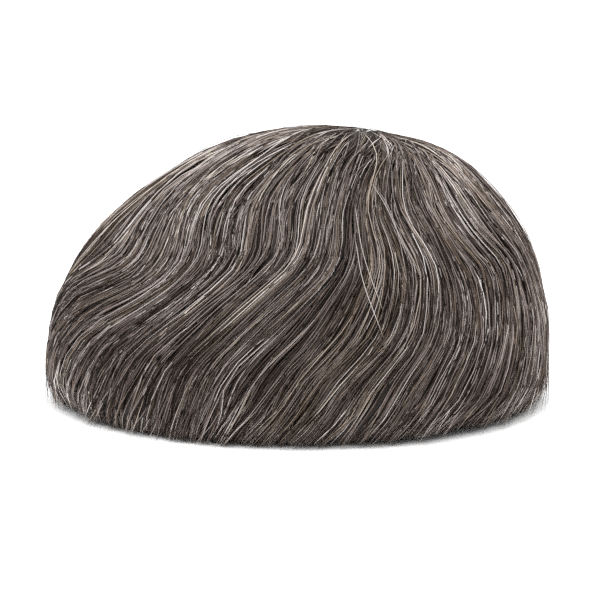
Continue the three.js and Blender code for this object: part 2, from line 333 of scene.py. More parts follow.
def mix(low, high, share):
    return low + (high - low) * share


def turn_from(azimuth, middle):
    """Degrees from a middle azimuth, the short way round."""
    return (np.degrees(azimuth) - middle + 180) % 360 - 180


# The hair's faces, worked out as the solids' are

def reach(dome, azimuth):
    end = np.where(np.cos(azimuth) < 0, dome["front"], dome["nape"])
    return 1 / np.hypot(np.cos(azimuth) / end, np.sin(azimuth) / dome["side"])


def dome_height(dome, x, y):
    """Height of a dome above a place given from the peak's axis."""
    azimuth = np.arctan2(y, x)
    share = np.minimum(np.hypot(x, y) / reach(dome, azimuth), 1)
    end = np.where(x < 0, dome["full_front"], dome["full_nape"])
    power = mix(dome["full_side"], end, np.cos(azimuth) ** 2)
    return dome["low"] + (dome["high"] - dome["low"]) * (1 - share ** power) ** (1 / power)


def tuck(azimuth):
    return mix(TUCK_SIDE, TUCK_END, np.cos(azimuth) ** 2)


def hair_point(azimuth, fall):
    """Places on the hair's outer face before locks, in the frame."""
    azimuth, fall = np.broadcast_arrays(azimuth, fall)
    radius = reach(HAIR_DOME, azimuth)
    swell = np.stack([radius * np.cos(azimuth), radius * np.sin(azimuth)], -1)
    run = np.sin(np.clip(fall / SWELL_FALL, 0, 1) * math.pi / 2)[..., None]
    above = mix(WHORL, swell, run)
    height = dome_height(HAIR_DOME, above[..., 0], above[..., 1])
    under = np.clip((fall - SWELL_FALL) / (1 - SWELL_FALL), 0, None)
    below = swell * (1 - tuck(azimuth) * under ** 2 / radius)[..., None]
    is_under = fall > SWELL_FALL
    plan = np.where(is_under[..., None], below, above)
    z = np.where(is_under, SWELL_HEIGHT * (1 - under), height)
    return np.stack([plan[..., 0] + PEAK_X, plan[..., 1], z], -1)


def inner_point(azimuth, fall):
    """Places on the hair's inner face: over the base, then down to the inner edge of the hem."""
    azimuth, fall = np.broadcast_arrays(azimuth, fall)
    outer = hair_point(azimuth, fall)
    radius = reach(BASE_DOME, azimuth) + BASE_GAP
    run = np.sin(np.clip(fall / SWELL_FALL, 0, 1) * math.pi / 2)
    share = np.clip(run / RIM_RUN, 0, 1)[..., None]
    rim = np.stack([radius * np.cos(azimuth), radius * np.sin(azimuth)], -1)
    plan = mix(WHORL, rim, share)
    height = dome_height(BASE_DOME, plan[..., 0], plan[..., 1]) + BASE_GAP
    hem = reach(HAIR_DOME, azimuth) - tuck(azimuth) - HEM_THICKNESS
    down = np.clip(1 - outer[..., 2] / BASE_DOME["low"], 0, 1)
    low = mix(radius, hem, down)
    is_low = outer[..., 2] < BASE_DOME["low"]
    x = np.where(is_low, low * np.cos(azimuth), plan[..., 0])
    y = np.where(is_low, low * np.sin(azimuth), plan[..., 1])
    z = np.where(is_low, outer[..., 2], np.maximum(height, BASE_DOME["low"]))
    return np.stack([x + PEAK_X, y, z], -1)


def spots(table, azimuth, fall):
    """The sum of a table's soft round spots at a place."""
    total = np.zeros(np.broadcast(azimuth, fall).shape)
    for middle, height, across, along, strength in table:
        turn = turn_from(azimuth, middle) / across
        total += strength * np.exp(-turn ** 2 - ((fall - height) / along) ** 2)
    return total


def combed(azimuth, fall):
    """Azimuths after the comb's swings: one way above a swing's middle, the other way below."""
    total = np.zeros(azimuth.shape)
    for middle, height, across, along, strength in SWINGS:
        turn = turn_from(azimuth, middle) / across
        step = (fall - height) / along
        total += strength * step * np.exp(-turn ** 2 - step ** 2)
    return azimuth + np.radians(total)


def hollow_depth(azimuth, fall):
    """How deep the shared wave and the dents lie."""
    wave = 0.5 - 0.5 * np.cos(2 * math.pi * (SWELL_FALL - fall) / WAVE_PITCH)
    depth = np.where(fall < SWELL_FALL, WAVE_DEPTH * wave * np.sin(azimuth) ** 2, 0)
    depth = depth + LOFT_SIDE * spots(DENTS, azimuth, fall)
    return depth * smoothstep(fall, WHORL_FALL, FALLS[1])


def hem_lift(azimuth, fall):
    """How high the combed hem stands off the table."""
    total = sum(
        lift * np.exp(-(turn_from(azimuth, middle) / across) ** 2)
        for middle, across, lift in HEM_LIFTS
    )
    return total * smoothstep(fall, LIFT_FALL, 1)


def hem_flare(azimuth, fall):
    """How far the loosest tips stand out from the tucked hem: less at the nape and the front."""
    at_nape = smoothstep(np.cos(azimuth), 0.0, 0.8)
    at_front = smoothstep(-np.cos(azimuth), 0.7, 1.0)
    ends = 1 - 0.8 * at_nape - 0.6 * at_front
    return hair().flare * ends * smoothstep(fall, *FLARE_FALLS)


def proud(azimuth, fall):
    """How far the top hair stands proud of the solids."""
    loose = hair().looseness * (1 - smoothstep(fall, *LOOSE_FALLS))
    return loose + spots(FULLNESS, azimuth, fall)


def sunk(points, depth):
    """Points moved towards the middle of the floor, or out from it where the depth is negative."""
    away = points - MIDDLE
    length = np.linalg.norm(away, axis=-1)
    return MIDDLE + away * (1 - depth / length)[..., None]


# The lie of the hair: azimuths on a smooth curve through the table, both down and round the head

def smooth_through(places, values, wanted):
    """Cubic curves through values at places, along the last axis, read at the wanted places."""
    slopes = np.gradient(values, places, axis=-1)
    index = np.clip(np.searchsorted(places, wanted, side="right") - 1, 0, len(places) - 2)
    step = (places[1:] - places[:-1])[index]
    share = (wanted - places[index]) / step
    start, end = values[..., index], values[..., index + 1]
    lean, lean_end = slopes[..., index] * step, slopes[..., index + 1] * step
    return (
        start * (2 * share ** 3 - 3 * share ** 2 + 1) + lean * (share ** 3 - 2 * share ** 2 + share)
        + end * (3 * share ** 2 - 2 * share ** 3) + lean_end * (share ** 3 - share ** 2)
    )


FALL_STEPS = 200
STEPS_PER_PARTING = 8


def comb_table():
    """Azimuths by place round the head, in partings, and by fall."""
    rows = np.radians(np.array([row[1:] for row in PARTINGS], float))
    falls = np.clip(np.linspace(0, 1, FALL_STEPS + 1), FALLS[0], 1)
    tracks = smooth_through(np.array(FALLS), rows, falls)
    turn = 2 * math.pi
    wrapped = np.concatenate([tracks[-2:] - turn, tracks, tracks[:3] + turn])
    places = np.arange(-2, len(PARTINGS) + 3, dtype=float)
    wanted = np.linspace(0, len(PARTINGS), len(PARTINGS) * STEPS_PER_PARTING + 1)
    return smooth_through(places, wrapped.T, wanted).T


COMB = comb_table()


def lie(place, fall):
    """Azimuth of the hair that lies at a place round the head, in partings, at a fall."""
    turns = np.floor(place / len(PARTINGS))
    column = (place - turns * len(PARTINGS)) * STEPS_PER_PARTING
    row = np.clip(fall, 0, 1) * FALL_STEPS
    i = np.clip(column.astype(int), 0, COMB.shape[0] - 2)
    j = np.clip(row.astype(int), 0, COMB.shape[1] - 2)
    a, b = column - i, row - j
    upper = mix(COMB[i, j], COMB[i + 1, j], a)
    lower = mix(COMB[i, j + 1], COMB[i + 1, j + 1], a)
    return mix(upper, lower, b) + turns * 2 * math.pi


def spacing_table():
    """Distance that one place round the head takes up, at each place and fall."""
    falls = np.linspace(0, 1, COMB.shape[1])[None, :]
    points = hair_point(COMB, falls)
    step = np.linalg.norm(points[1:] - points[:-1], axis=-1) * STEPS_PER_PARTING
    step = np.concatenate([step, step[:1]])
    kernel = np.ones(2 * STEPS_PER_PARTING + 1)
    wrapped = np.concatenate([step[-STEPS_PER_PARTING - 1:-1], step, step[1:STEPS_PER_PARTING + 1]])
    smooth = np.apply_along_axis(lambda column: np.convolve(column, kernel, "valid"), 0, wrapped)
    return np.maximum(smooth / kernel.sum(), 4 * MM)


SPACING = spacing_table()


def spacing(place, fall):
    """Distance that one place takes up, where the hair lies at a place and a fall."""
    column = (place % len(PARTINGS)) * STEPS_PER_PARTING
    i = np.clip(column.astype(int), 0, SPACING.shape[0] - 1)
    j = np.clip((np.clip(fall, 0, 1) * FALL_STEPS).astype(int), 0, SPACING.shape[1] - 1)
    return SPACING[i, j]


def places_by_width(first, last, shares, fall=0.6):
    """Places between two partings, for shares of the distance round the hair at one fall."""
    fine = np.linspace(first, last, 400)
    points = hair_point(lie(fine, np.full(fine.shape, fall)), fall)
    along = np.concatenate([[0], np.cumsum(np.linalg.norm(np.diff(points, axis=0), axis=1))])
    return np.interp(shares * along[-1], along, fine), along[-1]


def pieces_of_hair():
    """Name, first and last parting of each piece."""
    starts = [i for i, row in enumerate(PARTINGS) if row[0]]
    ends = starts[1:] + [len(PARTINGS)]
    return [(PARTINGS[i][0], i, j) for i, j in zip(starts, ends)]


# Strands

LAYERS = {
    # wisps to a centimetre round the head, tufts to a wisp, strands to a tuft, depth of the wisps
    # that start at the whorl and of those that start lowest, joints along a strand, how much darker
    # from painted shade, falls that the roots lie between, how unevenly the tips end above the
    # table, share of hairs that stray across the others, and share that stand free of them and how
    # far
    "upper": dict(
        wisps=8.6, tufts=5, strands=3, shallow=0.0, deep=1.6 * MM, segments=15, dark=0.0,
        roots=(0.0, 0.62), uneven=0.018, strays=0.02, free=0.05, reach=1.5 * MM,
    ),
    "under": dict(
        # painted shade: the hair beneath is drawn darker, as it lies in shade
        wisps=5, tufts=3, strands=3, shallow=1.7 * MM, deep=3.2 * MM, segments=7, dark=0.12,
        roots=(0.0, 0.62), uneven=0.010, strays=0.0, free=0.0, reach=0.0,
    ),
    "hem": dict(
        wisps=9, tufts=3, strands=3, shallow=0.0, deep=2.6 * MM, segments=6, dark=0.0,
        roots=(0.66, 0.86), uneven=0.009, strays=0.0, free=0.10, reach=TUCK_END,
    ),
}
LENGTHS = (0.42, 0.80)  # of the hairs, as falls
HEM_FALL = 0.997  # where the longest wisps end, then strands
LAST_FALL = 0.998
FINE_STEPS = 48  # along a strand, before its joints are chosen

# What each wisp, tuft and strand is drawn from: widths, leans as slopes, side to side waves and
# their lengths, depths, shares of the hem's flare, and tones.
WISP = dict(
    width=5.0 * MM, widths=(0.6, 1.2), lean=0.030, wave=0.8 * MM, waves=(45 * MM, 80 * MM),
    sink=0.7 * MM, flare=(0.1, 0.95), tone=0.035,
)
TUFT = dict(
    width=1.0 * MM, root=0.012, tip=0.010, lean=0.018, wave=0.3 * MM, waves=(40 * MM, 70 * MM),
    sink=0.5 * MM, edge=0.4 * MM, dip=0.3 * MM, dips=0.28 * MM, dip_lengths=(55 * MM, 100 * MM),
    tone=0.045,
)
STRAND = dict(
    tip=0.006, lean=0.004, stray_lean=(0.05, 0.16), sink=0.3 * MM, flare=(-0.1, 0.15),
    widths=(0.7, 1.2), free_width=0.75, free=(0.3, 1.0), tone=0.06,
)
# Near black, brown, grey and silver hairs: shares, added up from the darkest, and tones.
KIND_SHARES = (0.33, 0.64, 0.895)
KIND_TONES = (0.03, 0.40, 0.65, 0.88)
DEPTH_SHADE = 0.04 / MM  # painted shade: how much darker for each length down
HEM_PAINTED_LIGHT_FALLS = (0.88, 0.98)  # where painted light makes the tips at the hem lighter, as they lie in shade
WHORL_ROOTS = (0.10, 0.30)  # falls of the roots that count as at the whorl
WHORL_RUN = (0.04, 0.28)  # share of such a hair that painted shade darkens
WHORL_DIP_FALLS = (0.07, 0.22)

# A lock's height across it, and how much of its depth the strands take up.
LOCK_PLACES = (0, 0.3, 0.7, 1)
LOCK_HEIGHTS = (1, 0, 0.4, 1)
LOCK_SHARE = 0.45
ROOT_SINK = 3.2 * MM  # how deep a root lies away from the whorl
ROOT_RUN = 0.18  # share of the hair that rises from there

# Roots at the whorl lie apart on an oblong ridge, not on one point, each on the side it grows to.
RIDGE = np.array([20.0, 13.0]) * MM
RIDGE_SHIFT = np.array([0.0, -7.0]) * MM
ROOT_SCATTER = 3.6 * MM
RIDGE_FALL = 0.35
RIDGE_CROWDING = 1.1  # past 1, more roots lie near its middle
RIDGE_BLUNTNESS = 0.6  # under 1, its ends are blunter

# A strand's width at its root, how fast it fills out, how much it narrows, and from where.
ROOT_TAPER, TAPER_RATE = 0.3, 5
TIP_TAPER, TIP_FROM = 0.7, 0.8
FLOOR_GAP = 0.75  # of its width, from its middle to the table


def strand_tones(rng, tufts, each, azimuth, fall):
    """Each strand's tone, 0 near black to 1 white, and whether it is a warm brown.

    The kinds grow mixed: a tuft has dark and light hairs, and leans a little to one kind.
    """
    count = tufts * each
    order = np.argsort(rng.random((tufts, each)), axis=1)
    chance = ((order + rng.random((tufts, each))) / each).ravel()
    kinds = np.searchsorted(KIND_SHARES, chance)
    tone = np.array(KIND_TONES)[kinds] + rng.normal(0, STRAND["tone"], count)
    tone += np.repeat(rng.normal(0, TUFT["tone"], tufts), each)
    warm = rng.random(count) < WARM_SHARE + spots(WARM_STREAMS, azimuth, fall)
    return tone, warm


def swing(rng, groups, each, size, lengths, run):
    """A gentle side to side wave, one for each group of strands, at distances from the root."""
    def shared(values):
        return np.repeat(values, each)[:, None]

    pitch = shared(rng.uniform(*lengths, groups))
    height = shared(rng.normal(0, size, groups))
    return height * np.sin(2 * math.pi * (run / pitch + shared(rng.random(groups))))


def choose_joints(points, tone, segments):
    """Joints on each strand's line, closer where it bends, their tones and how far along."""
    steps = np.diff(points, axis=1)
    steps /= np.linalg.norm(steps, axis=-1, keepdims=True)
    bend = np.linalg.norm(np.diff(steps, axis=1), axis=-1)
    bend = np.concatenate([bend[:, :1], bend, bend[:, -1:]], axis=1)
    need = 0.5 * (bend[:, 1:] + bend[:, :-1])
    need = np.sqrt(need) + 0.6 * np.sqrt(need).mean(axis=1, keepdims=True)
    reached = np.concatenate([np.zeros((len(need), 1)), np.cumsum(need, axis=1)], axis=1)
    reached /= reached[:, -1:]
    fine = np.linspace(0, 1, points.shape[1])
    wanted = np.linspace(0, 1, segments + 1)
    along = np.array([np.interp(wanted, row, fine) for row in reached])
    index = np.clip((along * (len(fine) - 1)).astype(int), 0, len(fine) - 2)
    share = along * (len(fine) - 1) - index
    rows = np.arange(len(points))[:, None]
    joints = mix(points[rows, index], points[rows, index + 1], share[..., None])
    return joints, mix(tone[rows, index], tone[rows, index + 1], share), along


def grow(rng, first, last, layer):
    """Centre lines, widths and tones of one piece's strands in one layer: tufts within wisps."""
    kind = LAYERS[layer]
    _, width = places_by_width(first, last, np.zeros(1))
    wisps = int(kind["wisps"] * width * 100)
    tufts = wisps * kind["tufts"]
    each, per_wisp = kind["strands"], kind["strands"] * kind["tufts"]
    count = tufts * each

    def of_wisp(values):
        return np.repeat(values, per_wisp)

    def of_tuft(values):
        return np.repeat(values, each, axis=-1)

    # roots, as close on a small ring as on a wide one, and lengths
    place, _ = places_by_width(first, last, rng.random(wisps))
    ring = np.sin(np.array(kind["roots"]) / SWELL_FALL * math.pi / 2)
    wisp_root = SWELL_FALL * np.arcsin(rng.uniform(*ring, wisps)) / (math.pi / 2)
    hem = HEM_FALL - np.abs(rng.normal(0, kind["uneven"], wisps))
    wisp_tip = np.minimum(wisp_root + rng.uniform(*LENGTHS, wisps), hem)
    root = np.clip(of_wisp(wisp_root) + of_tuft(rng.normal(0, TUFT["root"], tufts)), 0.0, None)
    tip = of_wisp(wisp_tip) + of_tuft(rng.normal(0, TUFT["tip"], tufts))
    tip = np.minimum(tip + rng.normal(0, STRAND["tip"], count), LAST_FALL)

    along = np.linspace(0, 1, FINE_STEPS + 1)[None, :]
    fall = root[:, None] + (tip - root)[:, None] * along
    run = (fall - root[:, None]) * HAIR_LENGTH  # distance from the root, near enough

    # sideways: the tuft's place in its wisp, the strand's in its tuft, and their leans and waves
    stray = rng.random(count) < kind["strays"]
    half = of_wisp(rng.uniform(*WISP["widths"], wisps) * WISP["width"] / 2)
    across = of_tuft(rng.uniform(-1, 1, tufts))
    inside = rng.uniform(-1, 1, count) * TUFT["width"] / 2
    lean = of_wisp(rng.normal(0, WISP["lean"], wisps)) + of_tuft(rng.normal(0, TUFT["lean"], tufts))
    lean = lean + rng.normal(0, STRAND["lean"], count)
    lean = lean + stray * rng.choice([-1.0, 1.0], count) * rng.uniform(*STRAND["stray_lean"], count)
    sideways = (
        (across * half)[:, None] * (1 - 0.55 * smoothstep(along, 0.15, 1.0))
        + inside[:, None] * (1 - 0.7 * smoothstep(along, 0.5, 1.0)) + lean[:, None] * run
        + swing(rng, wisps, per_wisp, WISP["wave"], WISP["waves"], run)
        + swing(rng, tufts, each, TUFT["wave"], TUFT["waves"], run)
    )
    at_place = of_wisp(place)[:, None] + 0 * fall
    spot = at_place + sideways / spacing(at_place, fall)
    azimuth = combed(lie(spot, fall), fall)

    # depth under the outer face
    low = np.clip((wisp_root - kind["roots"][0]) / (kind["roots"][1] - kind["roots"][0]), 0, 1)
    sink = mix(kind["shallow"], kind["deep"], low) + rng.uniform(0, WISP["sink"], wisps)
    sink = of_wisp(sink) + of_tuft(rng.uniform(0, TUFT["sink"], tufts))
    sink = sink + rng.uniform(0, STRAND["sink"], count)
    depth = (sink + TUFT["edge"] * across ** 2) * (1 - 0.5 * stray)
    dip = TUFT["dip"] + swing(rng, tufts, each, TUFT["dips"], TUFT["dip_lengths"], run)
    lock = np.interp((spot * LOCKS_PER_PARTING) % 1.0, LOCK_PLACES, LOCK_HEIGHTS)
    lock = lock * LOCK_SHARE * LOCK_DEPTH * smoothstep(fall, WHORL_FALL, FULL_LOCKS_FALL)
    off_whorl = smoothstep(root, WHORL_FALL, WHORL_ROOTS[1])[:, None]
    rise = ROOT_SINK * (1 - smoothstep(along, 0, ROOT_RUN)) * off_whorl
    total = depth[:, None] + dip * (1 - 0.5 * stray[:, None]) + lock + rise
    total = total + hollow_depth(azimuth, fall)
    flare = of_wisp(rng.uniform(*WISP["flare"], wisps)) + rng.uniform(*STRAND["flare"], count)
    total = total - flare[:, None] * hem_flare(azimuth, fall)
    free = (rng.random(count) < kind["free"]) * rng.uniform(*STRAND["free"], count) * kind["reach"]
    hang = np.clip((fall - SWELL_FALL) / (1 - SWELL_FALL), 0, 1) ** 2
    bow = hang if layer == "hem" else np.sin(math.pi * along)
    total = total - free[:, None] * bow - proud(azimuth, fall)
    total = total + WHORL_DIP * (1 - smoothstep(fall, *WHORL_DIP_FALLS))

    points = apart_at_whorl(rng, hair_point(azimuth, fall), azimuth[:, :1], fall, tufts, of_tuft)
    points = sunk(points, total)
    points[..., 2] += hem_lift(azimuth, fall)
    middle = FINE_STEPS // 2
    # painted shade: darker for the under layer and for hairs that lie deeper, plus each wisp's own
    # tone
    shade = -kind["dark"] - DEPTH_SHADE * sink + of_wisp(rng.normal(0, WISP["tone"], wisps))
    own, warm = strand_tones(rng, tufts, each, azimuth[:, middle], fall[:, middle])
    # grey streams, with painted light and painted shade by place
    tone = (own + shade)[:, None] + spots(GREY_STREAMS_AND_PAINTED_LIGHT, azimuth, fall)
    # painted light on the tips at the hem, which lie in shade
    tone = tone + hair().hem_painted_light * smoothstep(fall, *HEM_PAINTED_LIGHT_FALLS)
    # painted shade at the roots of the whorl
    at_whorl = (1 - smoothstep(root, *WHORL_ROOTS))[:, None] * (1 - smoothstep(along, *WHORL_RUN))
    tone = tone - WHORL_SHADE * at_whorl
    widths = getattr(hair(), layer + "_width") * rng.uniform(*STRAND["widths"], count)
    widths = widths * np.where(free > 0, STRAND["free_width"], 1.0)
    return *choose_joints(points, tone, kind["segments"]), widths, warm


def apart_at_whorl(rng, points, grows_to, fall, tufts, of_tuft):
    """Moves the hair near the whorl so that its roots lie apart, each on the side it grows to."""
    away = of_tuft(rng.random(tufts) ** RIDGE_CROWDING)[:, None]
    along_ridge = np.sign(np.cos(grows_to)) * np.abs(np.cos(grows_to)) ** RIDGE_BLUNTNESS
    shift = away[..., None] * np.stack([along_ridge, np.sin(grows_to)], -1) * RIDGE + RIDGE_SHIFT
    shift = shift + of_tuft(rng.normal(0, ROOT_SCATTER, (2, tufts))).T[:, None, :]
    shift = shift * (1 - smoothstep(fall, 0, RIDGE_FALL))[..., None]
    plan = points[..., :2] - [PEAK_X, 0] + shift
    near = fall < RIDGE_FALL
    height = dome_height(HAIR_DOME, plan[..., 0], plan[..., 1])
    points[..., :2] = np.where(near[..., None], plan + [PEAK_X, 0], points[..., :2])
    points[..., 2] = np.where(near, height, points[..., 2])
    return points


def lift_off_floor(points, width):
    """Keeps a strand's whole thickness above the table."""
    floor = (width * FLOOR_GAP)[:, None]
    points[..., 2] = np.maximum(points[..., 2], floor)
    return points


SIDES = 3
TONE_COLUMN = 0.004  # width on the UV map of one side of a strand


def strand_mesh(name, points, tone, along, widths, warm):
    """One mesh of closed, three-sided, tapered strands, with the map of their tones."""
    count, rings, _ = points.shape
    points = lift_off_floor(points, widths)
    tangent = np.gradient(points, axis=1)
    tangent /= np.linalg.norm(tangent, axis=-1, keepdims=True)
    out = points - MIDDLE
    side = np.cross(tangent, out)
    side /= np.linalg.norm(side, axis=-1, keepdims=True)
    up = np.cross(side, tangent)
    taper = np.minimum(1, ROOT_TAPER + along * TAPER_RATE)
    taper = taper * (1 - TIP_TAPER * smoothstep(along, TIP_FROM, 1.0))
    radius = widths[:, None] / 2 * taper
    turns = math.pi / 2 + np.arange(SIDES) * 2 * math.pi / SIDES
    ring = (
        np.cos(turns)[None, None, :, None] * side[:, :, None, :]
        + np.sin(turns)[None, None, :, None] * up[:, :, None, :]
    )
    corners = points[:, :, None, :] + ring * radius[:, :, None, None]
    corners = corners.reshape(-1, 3)

    first = (np.arange(count) * rings * SIDES)[:, None, None]
    row = (np.arange(rings - 1) * SIDES)[None, :, None]
    column = np.arange(SIDES)[None, None, :]
    following = (column + 1) % SIDES
    base = first + row
    quads = np.stack(
        [base + column, base + SIDES + column, base + SIDES + following, base + following], -1
    ).reshape(-1, 4)
    start = (np.arange(count) * rings * SIDES)[:, None]
    root_caps = start + np.array([[0, 1, 2]])
    tip_caps = start + (rings - 1) * SIDES + np.array([[2, 1, 0]])

    mesh = bpy.data.meshes.new(name)
    loops = np.concatenate([quads.ravel(), root_caps.ravel(), tip_caps.ravel()]).astype(np.int32)
    sizes = np.concatenate([np.full(len(quads), 4), np.full(2 * count, 3)])
    starts = np.concatenate([[0], np.cumsum(sizes)[:-1]]).astype(np.int32)
    mesh.vertices.add(len(corners))
    mesh.vertices.foreach_set("co", corners.astype(np.float32).ravel())
    mesh.loops.add(len(loops))
    mesh.loops.foreach_set("vertex_index", loops)
    mesh.polygons.add(len(sizes))
    mesh.polygons.foreach_set("loop_start", starts)
    mesh.polygons.foreach_set("use_smooth", np.ones(len(sizes), bool))
    mesh.update(calc_edges=True)

    # the map: neutral tones in the left half, warm ones in the right, root at 0, tip at 1
    tone_u = 0.02 + 0.5 * warm[:, None] + 0.46 * np.clip(tone, 0.02, 0.98)
    left = tone_u[:, :, None] + (column - 1.5) * TONE_COLUMN
    v = np.broadcast_to(mix(0.01, 0.99, along)[:, :, None], left.shape)
    edge = np.stack([left, v], -1)
    across = np.array([TONE_COLUMN, 0])
    quad_uv = np.stack([edge[:, :-1], edge[:, 1:], edge[:, 1:] + across, edge[:, :-1] + across], -2)
    quad_uv = quad_uv.reshape(-1, 2)
    cap = np.array([[0, 0], [TONE_COLUMN, 0], [TONE_COLUMN / 2, TONE_COLUMN]])
    root_uv = np.stack([tone_u[:, 0], np.full(count, 0.0)], -1)[:, None, :] + cap
    tip_uv = np.stack([tone_u[:, -1], np.full(count, 0.99)], -1)[:, None, :] + cap
    uv = np.concatenate([quad_uv, root_uv.reshape(-1, 2), tip_uv.reshape(-1, 2)])
    layer = mesh.uv_layers.new(name="OFBake")
    layer.uv.foreach_set("vector", uv.astype(np.float32).ravel())
    mesh.validate()
    return mesh


def place_mesh(name, mesh, material, replaced=()):
    piece = bpy.data.objects.new(name, mesh)
    bpy.context.scene.collection.objects.link(piece)
    mesh.materials.append(material)
    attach(piece, "root")
    for node in replaced:
        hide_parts(node)
    return piece


# Materials

def add_node(tree, kind, values=None, links=None, **settings):
    """Adds a node, sets its settings and sockets, and links sockets from (node, output) pairs."""
    node = tree.nodes.new(kind)
    for name, value in settings.items():
        setattr(node, name, value)
    for name, value in (values or {}).items():
        node.inputs[name].default_value = value
    for name, (source, output) in (links or {}).items():
        tree.links.new(source.outputs[output], node.inputs[name])
    return node


def new_material(name):
    material = bpy.data.materials.get(name)
    if material:
        return material, None
    material = bpy.data.materials.new(name)
    material.use_nodes = True
    material.node_tree.nodes.clear()
    return material, material.node_tree


def finish_material(tree, shader):
    add_node(tree, "ShaderNodeOutputMaterial", links={"Surface": (shader, 0)})


def set_ramp(ramp, stops):
    """Fills a colour ramp from places and colours: a setting's name, or a plain hex value."""
    colours = bpy.context.scene.hair_colours
    elements = ramp.color_ramp.elements
    while len(elements) > 1:
        elements.remove(elements[-1])
    for index, (place, colour) in enumerate(stops):
        element = elements[0] if index == 0 else elements.new(place)
        element.position = place
        values = linear(colour) if colour.startswith("#") else getattr(colours, colour)
        element.color = (*values, 1)


NEUTRAL_STOPS = (
    (0.0, "black"), (0.10, "dark_brown"), (0.22, "brown"), (0.33, "grey"), (0.41, "silver"),
    (0.48, "white"),
)
WARM_STOPS = (
    (0.50, "warm_black"), (0.60, "umber"), (0.72, "chestnut"), (0.83, "sand"), (0.91, "fair"),
    (0.98, "cream"),
)
# From root to tip: painted shade makes it a little darker where the hair comes out from under the
# rest.
ROOT_SHADE_AND_TIP_STOPS = ((0.0, "#b4b4b4"), (0.10, "#ffffff"), (0.85, "#ffffff"), (1.0, "#f6f1ec"))
# painted shade: the deep hair's stripes are near black-brown, as it lies in shade
DEEP_SHADE_STOPS = ((0.3, "deep_dark"), (0.5, "deep_middle"), (0.68, "deep_light"))
WHORL_STOPS = ((0.35, "whorl_dark"), (0.5, "whorl_middle"), (0.65, "whorl_light"))
NET_STOPS = ((0.2, "net_hole"), (0.8, "net_thread"))
STRIPES = (220, 5, 1)  # of deep hair across and down a piece's map
THREAD_PITCH = 1.1 * MM  # about twice as coarse as real, to show


def hair_material():
    """Human hair, keratin, wet-combed and dried: a dielectric with a soft sheen along each strand.

    It reads only the strand's own map: tone across, root to tip along.
    """
    material, tree = new_material("human hair strands")
    if tree is None:
        return material
    uv = add_node(tree, "ShaderNodeUVMap", uv_map="OFBake")
    split = add_node(tree, "ShaderNodeSeparateXYZ", links={"Vector": (uv, 0)})
    ramp = add_node(tree, "ShaderNodeValToRGB", links={"Fac": (split, 0)})
    set_ramp(ramp, NEUTRAL_STOPS + WARM_STOPS)
    # painted shade at the roots, where they come out from under the rest
    ends = add_node(tree, "ShaderNodeValToRGB", links={"Fac": (split, 1)})
    set_ramp(ends, ROOT_SHADE_AND_TIP_STOPS)
    shaded = add_node(
        tree, "ShaderNodeMix", data_type="RGBA", blend_type="MULTIPLY",
        values={0: 1.0}, links={6: (ramp, 0), 7: (ends, 0)},
    )
    shader = add_node(
        tree, "ShaderNodeBsdfPrincipled", links={"Base Color": (shaded, 2)},
        values={"Roughness": 0.45, "IOR": 1.55, "Specular IOR Level": 0.12},
    )
    finish_material(tree, shader)
    return material


def undercoat_material():
    """The deeper hair, dark brown from painted shade, drawn as half-millimetre stripes that follow
    the locks.
    """
    material, tree = new_material("deep hair")
    if tree is None:
        return material
    uv = add_node(tree, "ShaderNodeUVMap", uv_map="UVMap")
    stretch = add_node(
        tree, "ShaderNodeMapping", values={"Scale": STRIPES}, links={"Vector": (uv, 0)},
    )
    grain = add_node(
        tree, "ShaderNodeTexNoise", values={"Scale": 1.0, "Detail": 3.0},
        links={"Vector": (stretch, 0)},
    )
    ramp = add_node(tree, "ShaderNodeValToRGB", links={"Fac": (grain, 0)})
    set_ramp(ramp, DEEP_SHADE_STOPS)
    # at the whorl less hair lies over it, so the light reaches it
    split = add_node(tree, "ShaderNodeSeparateXYZ", links={"Vector": (uv, 0)})
    bare = add_node(
        tree, "ShaderNodeMapRange", links={"Value": (split, 1)},
        values={"From Min": 0.88, "From Max": 0.97, "To Min": 0.0, "To Max": 0.8},
    )
    roots = add_node(tree, "ShaderNodeValToRGB", links={"Fac": (grain, 0)})
    set_ramp(roots, WHORL_STOPS)
    stripes = add_node(
        tree, "ShaderNodeMix", data_type="RGBA", links={0: (bare, 0), 6: (ramp, 0), 7: (roots, 0)},
    )
    bump = add_node(
        tree, "ShaderNodeBump", values={"Strength": 0.7, "Distance": 0.4 * MM},
        links={"Height": (grain, 0)},
    )
    shader = add_node(
        tree, "ShaderNodeBsdfPrincipled", values={"Roughness": 0.6},
        links={"Base Color": (stripes, 2), "Normal": (bump, 0)},
    )
    finish_material(tree, shader)
    return material


def net_material():
    """Monofilament net, woven nylon thread: matt, with fine square holes that show dark."""
    material, tree = new_material("monofilament net")
    if tree is None:
        return material
    place = add_node(tree, "ShaderNodeTexCoord")
    split = add_node(tree, "ShaderNodeSeparateXYZ", links={"Vector": (place, 3)})
    weave = None
    for axis in (0, 1, 2):
        wave = add_node(
            tree, "ShaderNodeMath", operation="MULTIPLY", values={1: 2 * math.pi / THREAD_PITCH},
            links={0: (split, axis)},
        )
        threads = add_node(tree, "ShaderNodeMath", operation="SINE", links={0: (wave, 0)})
        if weave:
            links = {0: (weave, 0), 1: (threads, 0)}
            threads = add_node(tree, "ShaderNodeMath", operation="MAXIMUM", links=links)
        weave = threads
    ramp = add_node(tree, "ShaderNodeValToRGB", links={"Fac": (weave, 0)})
    set_ramp(ramp, NET_STOPS)
    bump = add_node(
        tree, "ShaderNodeBump", values={"Strength": 0.5, "Distance": 0.15 * MM},
        links={"Height": (weave, 0)},
    )
    shader = add_node(
        tree, "ShaderNodeBsdfPrincipled", values={"Roughness": 0.85},
        links={"Base Color": (ramp, 0), "Normal": (bump, 0)},
    )
    finish_material(tree, shader)
    return material


